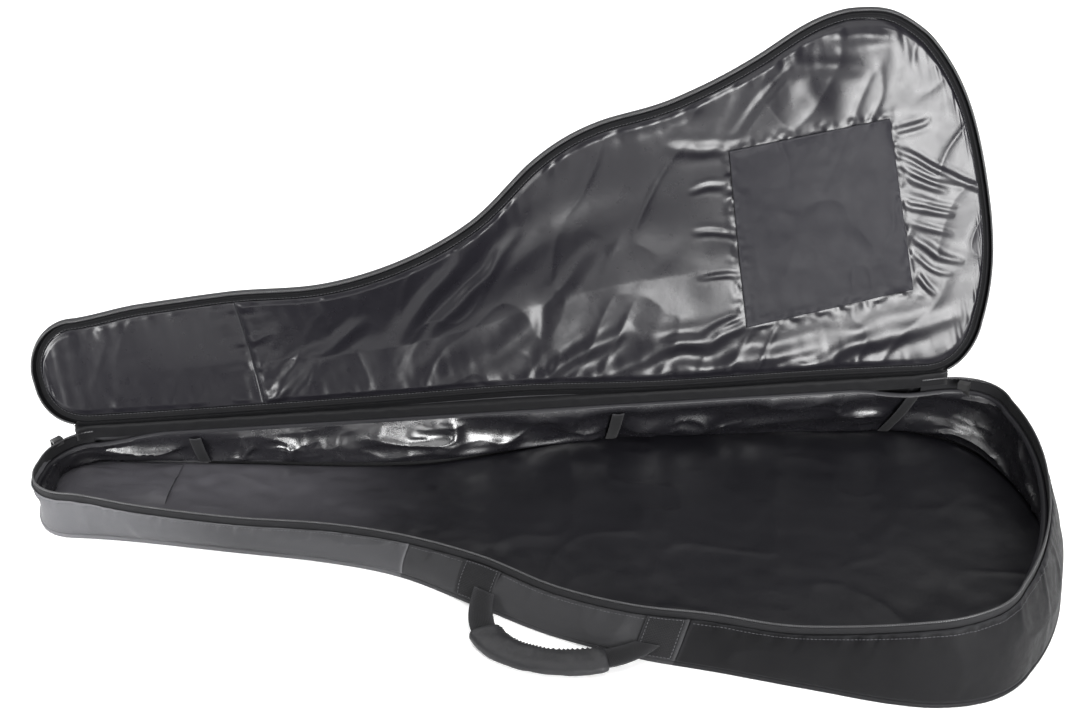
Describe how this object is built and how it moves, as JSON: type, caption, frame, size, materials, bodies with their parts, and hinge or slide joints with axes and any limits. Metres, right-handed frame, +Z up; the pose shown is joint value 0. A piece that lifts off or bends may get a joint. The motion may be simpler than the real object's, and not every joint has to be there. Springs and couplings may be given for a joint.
{
  "type": "classical guitar gig bag",
  "caption": "Padded guitar-shaped bag lying open on its back, with a hinged lid, curved zip with sliders, a side carry handle, a lid pocket and folded shoulder straps",
  "frame": {"origin": "On the ground, under the middle of the open bag's box", "axes": "+X from the narrow head end to the wide tail end, +Y from the handle's side to the hinge side, +Z up. The bag lies on its back with the lid open"},
  "size_m": [1.094, 0.5552, 0.4791],
  "materials": {
    "grey_polyester": "woven polyester, dark grey, slightly shiny",
    "black_polyester": "woven polyester, near black, matt",
    "satin_lining": "thin satin nylon, grey with a violet cast",
    "dark_lining": "thin nylon, near black, soft shine",
    "foam": "soft padding inside the cloth",
    "zip_tape": "ribbed tape, black",
    "coil": "nylon coil, black",
    "webbing": "woven webbing, black",
    "black_metal": "black enamelled zinc",
    "buckle_plastic": "moulded acetal, black"
  },
  "bodies": {
    "base": {"back_foam": "foam", "back_panel": "black_polyester", "back_piping": "black_polyester", "floor_lining": "dark_lining", "handle_band_head": "webbing", "handle_band_tail": "webbing", "handle_wall": "grey_polyester", "head_pad": "dark_lining", "head_wall": "grey_polyester", "hinge_tape": "zip_tape", "hinge_wall": "black_polyester", "ladder_lock_far": "buckle_plastic", "ladder_lock_near": "buckle_plastic", "lower_zip_coil": "coil", "lower_zip_tape": "zip_tape", "seam_binding_head": "zip_tape", "seam_binding_tail": "zip_tape", "seam_binding_waist": "zip_tape", "strap_anchor_far": "black_polyester", "strap_anchor_near": "black_polyester", "strap_pad_far": "black_polyester", "strap_pad_near": "black_polyester", "strap_webbing_far": "webbing", "strap_webbing_near": "webbing", "strap_yoke": "black_polyester", "tail_wall": "black_polyester", "wall_foam": "foam", "wall_lining": "dark_lining"},
    "lid": {"bridge_patch": "dark_lining", "front_pocket": "black_polyester", "lid_band": "black_polyester", "lid_cover": "black_polyester", "lid_foam": "foam", "lid_head_cover": "black_polyester", "lid_head_lining": "satin_lining", "lid_hinge_tape": "zip_tape", "lid_lining": "satin_lining", "lid_piping": "black_polyester", "pocket_zip_coil": "coil", "pocket_zip_tape": "zip_tape", "upper_zip_coil": "coil", "upper_zip_tape": "zip_tape"},
    "handle": {"handle_grip": "webbing", "handle_webbing": "webbing"},
    "head_slider": {"head_slider": "black_metal"},
    "head_pull": {"head_pull": "black_metal"},
    "tail_slider": {"tail_slider": "black_metal"},
    "tail_pull": {"tail_pull": "black_metal"},
    "pocket_slider": {"pocket_slider": "black_metal"},
    "pocket_pull": {"pocket_pull": "black_metal"}
  },
  "joints": [
    {"name": "lid_hinge", "type": "hinge", "parent": "base", "child": "lid", "pos_m": [0.00053, 0.07915, 0.0811], "axis": [-0.9861, -0.1606, -0.042], "range_deg": [-107.6, 67.4]},
    {"name": "handle_swing", "type": "hinge", "parent": "base", "child": "handle", "pos_m": [0.05294, -0.21008, 0.02042], "axis": [-0.9436, 0.3311, 0], "range_deg": [0, 80]},
    {"name": "head_slider_travel", "type": "hinge", "parent": "base", "child": "head_slider", "pos_m": [-0.47497, -0.05402, 0.06084], "axis": [-0.0426, 0, 0.9991], "range_deg": [0, 28]},
    {"name": "head_pull_swing", "type": "hinge", "parent": "head_slider", "child": "head_pull", "pos_m": [-0.52105, -0.02076, 0.05778], "axis": [0.5841, 0.8113, 0.0249], "range_deg": [0, 110]},
    {"name": "tail_slider_travel", "type": "hinge", "parent": "base", "child": "tail_slider", "pos_m": [0.4227, 0.06685, 0.09908], "axis": [0.0426, 0, -0.9991], "range_deg": [0, 34]},
    {"name": "tail_pull_swing", "type": "hinge", "parent": "tail_slider", "child": "tail_pull", "pos_m": [0.45697, 0.14124, 0.09944], "axis": [0.9075, -0.4183, 0.0387], "range_deg": [0, 110]},
    {"name": "pocket_slider_travel", "type": "slide", "parent": "lid", "child": "pocket_slider", "axis": [0.9861, 0.1606, 0.042], "range_m": [-0.012, 0.235]},
    {"name": "pocket_pull_swing", "type": "hinge", "parent": "pocket_slider", "child": "pocket_pull", "pos_m": [0.11923, 0.14913, 0.16303], "axis": [0.9861, 0.1606, 0.042], "range_deg": [-12, 150]}
  ]
}
